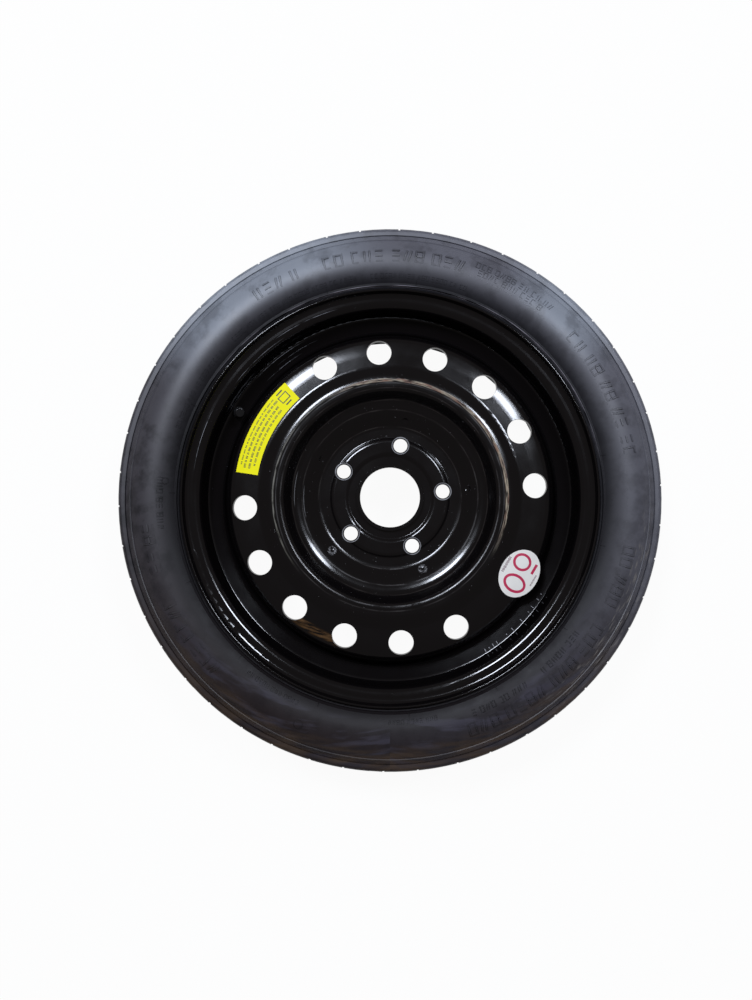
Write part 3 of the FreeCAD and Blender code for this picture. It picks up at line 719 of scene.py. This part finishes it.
def small_finish(name, colour, second, low, high, size=SMALL_GRAIN, **sockets):
    """A finish whose colour and gloss wander between two values with a fine grain."""
    made, tree, shader = begin(name, colour, **sockets)
    place = add(tree, "ShaderNodeTexCoord").outputs["Object"]
    share = add(tree, "ShaderNodeTexNoise",
                {"Vector": place, "Scale": 1 / size, "Detail": GRAIN_DETAIL}).outputs["Fac"]
    rough = add(tree, "ShaderNodeMapRange", {"Value": share, "To Min": low, "To Max": high})
    bump = add(tree, "ShaderNodeBump", {"Height": share, "Distance": SMALL_DEPTH})
    tree.links.new(layered(tree, linear(colour), (share, second)), shader.inputs["Base Color"])
    tree.links.new(rough.outputs[0], shader.inputs["Roughness"])
    tree.links.new(bump.outputs[0], shader.inputs["Normal"])
    return made


# Moulded rubber is black with a soft, wide sheen.
valve_rubber = small_finish("moulded_valve_rubber", "#151516", "#1F1F21", 0.45, 0.65, IOR=1.5)
# Turned brass is warm yellow, and the tool's rings break its gloss up.
turned_brass = small_finish("turned_brass", *BRASS, Metallic=1.0)
# Drawn steel wire is pale grey and bright.
spring_wire = small_finish("drawn_spring_steel", "#B4B4B2", "#8E8E8C", 0.25, 0.4, Metallic=1.0)
# Moulded polypropylene takes a polish from its mould, so the black cap has a clear gloss.
cap_plastic = small_finish("moulded_black_polypropylene", "#0A0A0B", "#101011", 0.16, 0.26, IOR=1.49)
# Vinyl film has a flat strong colour, and mirrors little.
yellow_vinyl = small_finish("yellow_vinyl_film", "#FFF900", "#FCF400", 0.5, 0.65, FILM_GRAIN,
                            Specular_IOR_Level=0.2)
white_vinyl = small_finish("white_vinyl_film", "#F4F2EB", "#ECE9E1", 0.45, 0.6, FILM_GRAIN,
                           Specular_IOR_Level=0.3)
# Screen ink lies on the film as an even colour, a little glossier than the film.
dark_ink = small_finish("dark_screen_ink", "#454512", "#38380E", 0.4, 0.55)
crimson_ink = small_finish("crimson_screen_ink", "#C92F58", "#BE2850", 0.35, 0.5)
plum_ink = small_finish("plum_screen_ink", "#6A2C48", "#59243D", 0.4, 0.55)
print("materials so far:", len(bpy.data.materials))

# %% [markdown]
# The stem's brass is threaded for the cap. The solid is a plain cylinder there, so the thread is
# a bump: a wave along the valve's own axis, one crest to each pitch.

# %% Threaded brass
VALVE_AXIS = (0, -0.275637, 0.961262)
THREAD_PITCH = 0.794 * MM
THREAD_DEPTH = 0.3 * MM


def cut_thread(made):
    """Replace a finish's grain by the wave of a thread."""
    tree = made.node_tree
    place = add(tree, "ShaderNodeTexCoord").outputs["Object"]
    along = add(tree, "ShaderNodeVectorMath", {0: place, 1: VALVE_AXIS}, operation="DOT_PRODUCT")
    turn = product(tree, along.outputs["Value"], 2 * math.pi / THREAD_PITCH)
    wave = add(tree, "ShaderNodeMath", {0: turn}, operation="SINE").outputs[0]
    bump = add(tree, "ShaderNodeBump", {"Height": wave, "Distance": THREAD_DEPTH / 2})
    tree.links.new(bump.outputs[0], tree.nodes["Principled BSDF"].inputs["Normal"])


threaded_brass = small_finish("threaded_brass", *BRASS, Metallic=1.0)
cut_thread(threaded_brass)
print("thread pitch:", round(THREAD_PITCH / MM, 3), "mm")

# %% [markdown]
# Each solid now takes the finish of its real material. The weld beads were painted with the rim.

# %% Dress the solids
FINISHES = {
    "tyre": tyre_rubber,
    "rim": rim_enamel,
    "wheel_disc": disc_enamel,
    "disc_welds": rim_enamel,
    "valve_rubber": valve_rubber,
    "valve_stem": threaded_brass,
    "core_plug": turned_brass,
    "core_barrel": turned_brass,
    "core_seal": valve_rubber,
    "core_pin": turned_brass,
    "pin_washer": valve_rubber,
    "core_spring": spring_wire,
    "valve_cap": cap_plastic,
    "cap_seal": valve_rubber,
    "yellow_label": yellow_vinyl,
    "oval_sticker": white_vinyl,
}
for name, finish in FINISHES.items():
    nodes[name].data.materials.clear()
    nodes[name].data.materials.append(finish)
print("dressed", len(FINISHES), "solids")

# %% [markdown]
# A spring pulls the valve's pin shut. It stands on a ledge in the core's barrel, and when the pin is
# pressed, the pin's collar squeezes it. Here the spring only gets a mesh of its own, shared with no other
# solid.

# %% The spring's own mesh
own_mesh(nodes["core_spring"])

# %% [markdown]
# Raised and printed marks are strokes laid on a solid. A stroke is a line of flat spots with a width.
# A ray straight down finds the surface under each edge of the stroke, and the top is lifted along
# the surface's normal. Moulded strokes have sloping sides and stand up to a millimetre proud. Ink is
# the same thing a few hundredths of a millimetre thick.

# %% Finding the surface
SKY = 0.3
STEP = 2.5 * MM


def surface_of(name):
    """A search tree of a solid's faces, for finding where rays meet it."""
    mesh = nodes[name].data
    return BVHTree.FromPolygons([v.co for v in mesh.vertices], [p.vertices for p in mesh.polygons])


def lifted(surface, spot, level):
    """The point at a level above the surface below a flat spot, never above the solids' own box."""
    place, normal, _, _ = surface.ray_cast(Vector((spot.x, spot.y, SKY)), Vector((0, 0, -1)))
    point = place + normal * level
    point.z = min(point.z, cad_box[1].z)
    return point


def divided(spots):
    """The same line of spots with long stretches cut into short steps."""
    line = []
    for start, end in zip(spots, spots[1:]):
        count = max(1, round((end - start).length / STEP))
        line += [start.lerp(end, i / count) for i in range(count)]
    return line + [spots[-1]]


print("strokes follow the surface every", STEP / MM, "mm")

# %% [markdown]
# Each spot of a stroke gives four points: a foot and a shoulder on either side. Faces join them to
# the next four. At a corner the stroke gets wider, so that both its arms keep their width.

# %% Strokes laid on a surface
MOULDED_TOP = 0.4
INK_TOP = 0.95
CLOSED_GAP = 0.01
SHARPEST_BEND = 0.5
CORNERS = 4


def stroke(surface, spots, width, height, top):
    """Points and faces of one stroke with a share of its width on top, closed if its ends meet."""
    line = divided(spots)
    closed = (line[0] - line[-1]).length < width * CLOSED_GAP
    if closed:
        line = line[:-1]
    count = len(line)
    points = []
    for i, spot in enumerate(line):
        before = line[i - 1] if closed or i else spot
        after = line[(i + 1) % count] if closed or i < count - 1 else spot
        ahead = (after - before).normalized()
        into = (spot - before).normalized() if spot != before else ahead
        side = Vector((-ahead.y, ahead.x, 0)) * (width / 2 / max(SHARPEST_BEND, ahead.dot(into)))
        for share, level in ((1, -height), (top, height), (-top, height), (-1, -height)):
            points.append(lifted(surface, spot + side * share, level))
    faces = []
    for i in range(count if closed else count - 1):
        here, there = i * CORNERS, (i + 1) % count * CORNERS
        for k in range(CORNERS):
            following = (k + 1) % CORNERS
            faces.append((here + k, here + following, there + following, there + k))
    if not closed:
        last = (count - 1) * CORNERS
        faces += [(3, 2, 1, 0), (last, last + 1, last + 2, last + 3)]
    return points, faces


def laid(name, node, strokes, height, finish, top=MOULDED_TOP):
    """Many strokes on one solid, as one piece on the wheel with one finish."""
    surface = surface_of(node)
    points, faces = [], []
    for spots, width in strokes:
        new_points, new_faces = stroke(surface, spots, width, height, top)
        faces += [tuple(i + len(points) for i in face) for face in new_faces]
        points += new_points
    mesh = bpy.data.meshes.new(name)
    mesh.from_pydata(points, [], faces)
    mesh.validate()
    mesh.materials.append(finish)
    made = bpy.data.objects.new(name, mesh)
    bpy.context.scene.collection.objects.link(made)
    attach(made, "wheel")
    print(name, "strokes:", len(strokes), "faces:", len(faces))


print("a moulded stroke is flat over", MOULDED_TOP, "of its width")

# %% [markdown]
# A tyre's sidewall carries rows of moulded marks. Here they are plain shapes in groups: boxes, pairs
# of bars, brackets and slanted bars. Each is drawn in a unit square, with the first number along the
# arc and the second outward, and then placed by its radius and clock angle.

# %% Shapes in a row
SHAPES = {
    "box": [[(0, 0), (1, 0), (1, 1), (0, 1), (0, 0)]],
    "split": [[(0, 0), (1, 0), (1, 1), (0, 1), (0, 0)], [(0, 0.5), (1, 0.5)]],
    "bars": [[(0.15, 0), (0.15, 1)], [(0.85, 0), (0.85, 1)]],
    "bracket": [[(0.9, 0), (0.1, 0), (0.1, 1), (0.9, 1)]],
    "slants": [[(0.0, 0), (0.4, 1)], [(0.6, 0), (1.0, 1)]],
    "ladder": [[(0, 0.02), (1, 0.02)], [(0, 0.5), (1, 0.5)], [(0, 0.98), (1, 0.98)]],
}
GROUP_SIZES = (2, 3, 4)
GROUP_GAP = 0.7
random.seed(12)


def mark_row(start, end, radius, tall, wide, gap, line):
    """Strokes of a row of shapes along an arc, in groups with wider gaps."""
    strokes = []
    clock = start
    left = random.choice(GROUP_SIZES)
    turn = math.degrees(wide / radius)
    while clock + turn <= end:
        for path in SHAPES[random.choice(list(SHAPES))]:
            spots = [direction(clock + turn * u) * (radius + (v - 0.5) * tall) for u, v in path]
            strokes.append((spots, line))
        clock += turn + math.degrees(gap / radius)
        left -= 1
        if not left:
            clock += turn * GROUP_GAP
            left = random.choice(GROUP_SIZES)
    return strokes


print("shapes:", ", ".join(SHAPES))

# %% [markdown]
# The sidewall has three sizes of marks. The large ones stand on its widest part. A row is its first
# and last clock angle. A size is a shape's height and width, the gap to the next and the line's width.

# %% Large sidewall marks
LARGE_ROWS = [(326, 340), (344, 379), (408, 442), (462, 478), (482, 524), (585, 608), (612, 626)]
LARGE_RADIUS = 255 * MM
LARGE_SIZE = (12 * MM, 7.6 * MM, 5 * MM, 3.8 * MM)
LARGE_HEIGHT = 1.0 * MM
large = [s for a, b in LARGE_ROWS for s in mark_row(a, b, LARGE_RADIUS, *LARGE_SIZE)]
laid("sidewall_large_marks", "tyre", large, LARGE_HEIGHT, mark_rubber)

# %% [markdown]
# The middle size lies on several circles, so each of its rows has a radius too, in millimetres. Two
# small rings go with it, each with a clock angle, a radius on the wheel and a size of its own.

# %% Middle sidewall marks
MIDDLE_ROWS = [(486, 500, 240), (504, 520, 240), (380.5, 402, 262), (381.5, 399, 254), (262, 276, 241)]
MIDDLE_SIZE = (6 * MM, 4 * MM, 2.4 * MM, 1.7 * MM)
MIDDLE_HEIGHT = 0.55 * MM
RINGS = [(274, 236 * MM, 3.2 * MM), (202, 254 * MM, 4.6 * MM)]
RING_LINE = 1.6 * MM
RING_TURNS = range(0, 361, 10)
middle = [s for a, b, r in MIDDLE_ROWS for s in mark_row(a, b, r * MM, *MIDDLE_SIZE)]
for ring_clock, ring_radius, ring_size in RINGS:
    centre = direction(ring_clock) * ring_radius
    middle.append(([centre + direction(turn) * ring_size for turn in RING_TURNS], RING_LINE))
laid("sidewall_middle_marks", "tyre", middle, MIDDLE_HEIGHT, mark_rubber)

# %% [markdown]
# The small size runs close to the rim, with short ticks inside it all the way round.

# %% Small sidewall marks
SMALL_ROWS = [(288, 312), (315, 352), (355, 381), (528, 541), (564, 580)]
SMALL_RADIUS = 234 * MM
SMALL_SIZE = (4.2 * MM, 2.8 * MM, 1.6 * MM, 1.1 * MM)
SMALL_HEIGHT = 0.4 * MM
TICK_CLOCKS = range(7, 360, 24)
TICK_ENDS = (225.5 * MM, 231 * MM)
TICK_LINE = 1.0 * MM
small = [s for a, b in SMALL_ROWS for s in mark_row(a, b, SMALL_RADIUS, *SMALL_SIZE)]
small += [([direction(clock) * end for end in TICK_ENDS], TICK_LINE) for clock in TICK_CLOCKS]
laid("sidewall_small_marks", "tyre", small, SMALL_HEIGHT, tyre_rubber)

# %% [markdown]
# The rim has a row of small stamped marks on its inner wall at the lower right. They are raised here as
# short ticks, with a dot for every third, and are coloured pale as painted glints from the lamps.

# %% Stamps on the rim
STAMP_CLOCKS = [122.5, 124.5, 127.5, 129.5, 133.0, 137.0, 139.5, 143.5, 145.0, 146.5, 148.0]
STAMP_RADIUS = 194.4 * MM
STAMP_TICK = 1.5 * MM
STAMP_DOT = 0.7 * MM
STAMP_LINE = 0.9 * MM
STAMP_HEIGHT = 0.2 * MM
stamps = []
for number, stamp_clock in enumerate(STAMP_CLOCKS):
    stamp_half = STAMP_TICK if number % 3 else STAMP_DOT
    ends = [direction(stamp_clock) * (STAMP_RADIUS + way * stamp_half) for way in (-1, 1)]
    stamps.append((ends, STAMP_LINE))
# A stamp is coloured pale and even all over, as a painted glint.
glint_painted_stamp = small_finish("stamp_painted_glint", "#C4C4C8", "#9A9AA0", 0.35, 0.5)
laid("rim_stamps", "rim", stamps, STAMP_HEIGHT, glint_painted_stamp)

# %% [markdown]
# The yellow label has four rows of small print and a larger figure at its end. None of it needs to be
# read, so the rows are dashes in words of uneven length, and the figure is a plain frame between two
# dashes. A row is its radius and height in millimetres and its first and last clock angle.

# %% Print on the label
LABEL_ROWS = [
    (160.4, 1.5, 282.5, 309.0),
    (156.2, 2.3, 281.5, 308.5),
    (151.2, 2.3, 281.5, 308.5),
    (146.4, 2.1, 283, 309.0),
]
WORD_LENGTHS = (2, 3, 4, 5)
DASH_PITCH = 1.15
WORD_GAP = 1.3
DASH_LINE = 0.75 * MM
FIGURE_CORNERS = [(149.6, 311.2), (157.0, 311.2), (157.0, 315.2), (149.6, 315.2), (149.6, 311.2)]
FIGURE_LINE = 1.1 * MM
FIGURE_DASHES = (146.0, 160.6)
FIGURE_CLOCKS = (311.6, 314.6)
FIGURE_DASH_LINE = 1.6 * MM
INK = 0.03 * MM
dashes = []
for radius, tall, first, last in LABEL_ROWS:
    clock = first
    while clock < last:
        for _ in range(random.choice(WORD_LENGTHS)):
            ends = [direction(clock) * (radius + way * tall / 2) * MM for way in (-1, 1)]
            dashes.append((ends, DASH_LINE))
            clock += math.degrees(DASH_PITCH / radius)
        clock += math.degrees(WORD_GAP / radius)
dashes.append(([direction(clock) * radius * MM for radius, clock in FIGURE_CORNERS], FIGURE_LINE))
for radius in FIGURE_DASHES:
    dashes.append(([direction(clock) * radius * MM for clock in FIGURE_CLOCKS], FIGURE_DASH_LINE))
laid("label_print", "yellow_label", dashes, INK, dark_ink, INK_TOP)

# %% [markdown]
# The oval sticker has bold crimson print in its middle and a line of small print on each side. Two
# plain rings and a bar stand in for the bold print. A ring is its place along the arc and outward
# from the sticker's middle, its two half sizes and its line, all in millimetres.

# %% Bold print on the sticker
STICKER_CLOCK = 120.7
STICKER_RADIUS = 157.8
PRINTED_RINGS = [(-11.7, -3.6, 8.0, 8.6, 2.8), (11.4, 0.6, 8.2, 11.2, 2.9)]
RING_STEPS = 48
BAR_ENDS = (-17.2, -6.0)
BAR_OUTWARD = 11.4
BAR_LINE = 3.0


def on_sticker(sideways, outward):
    """Flat spot at millimetres along the arc and outward from the sticker's middle."""
    spot = direction(STICKER_CLOCK) * (STICKER_RADIUS + outward)
    return (spot + direction(STICKER_CLOCK + 90) * sideways) * MM


turns = [2 * math.pi * i / RING_STEPS for i in range(RING_STEPS + 1)]
bold = []
for sideways, outward, half_along, half_out, width in PRINTED_RINGS:
    spots = [on_sticker(sideways + half_along * math.cos(turn), outward + half_out * math.sin(turn))
             for turn in turns]
    bold.append((spots, width * MM))
bold.append(([on_sticker(end, BAR_OUTWARD) for end in BAR_ENDS], BAR_LINE * MM))
laid("sticker_rings", "oval_sticker", bold, INK, crimson_ink, INK_TOP)

# %% [markdown]
# Short dashes stand in for the small print, one to a millimetre, with every third one shorter. A row
# is its place outward, its height, and its first and last place along the arc.

# %% Small print on the sticker
STICKER_ROWS = [(-17.0, 3.0, -10, 8), (16.6, 1.8, -7, 6)]
ROW_LINE = 0.55 * MM
rows = []
for outward, tall, first, last in STICKER_ROWS:
    for sideways in range(first, last):
        reach = tall / 2 if sideways % 3 else tall / 3
        rows.append(([on_sticker(sideways, outward + way * reach) for way in (-1, 1)], ROW_LINE))
laid("sticker_rows", "oval_sticker", rows, INK, plum_ink, INK_TOP)
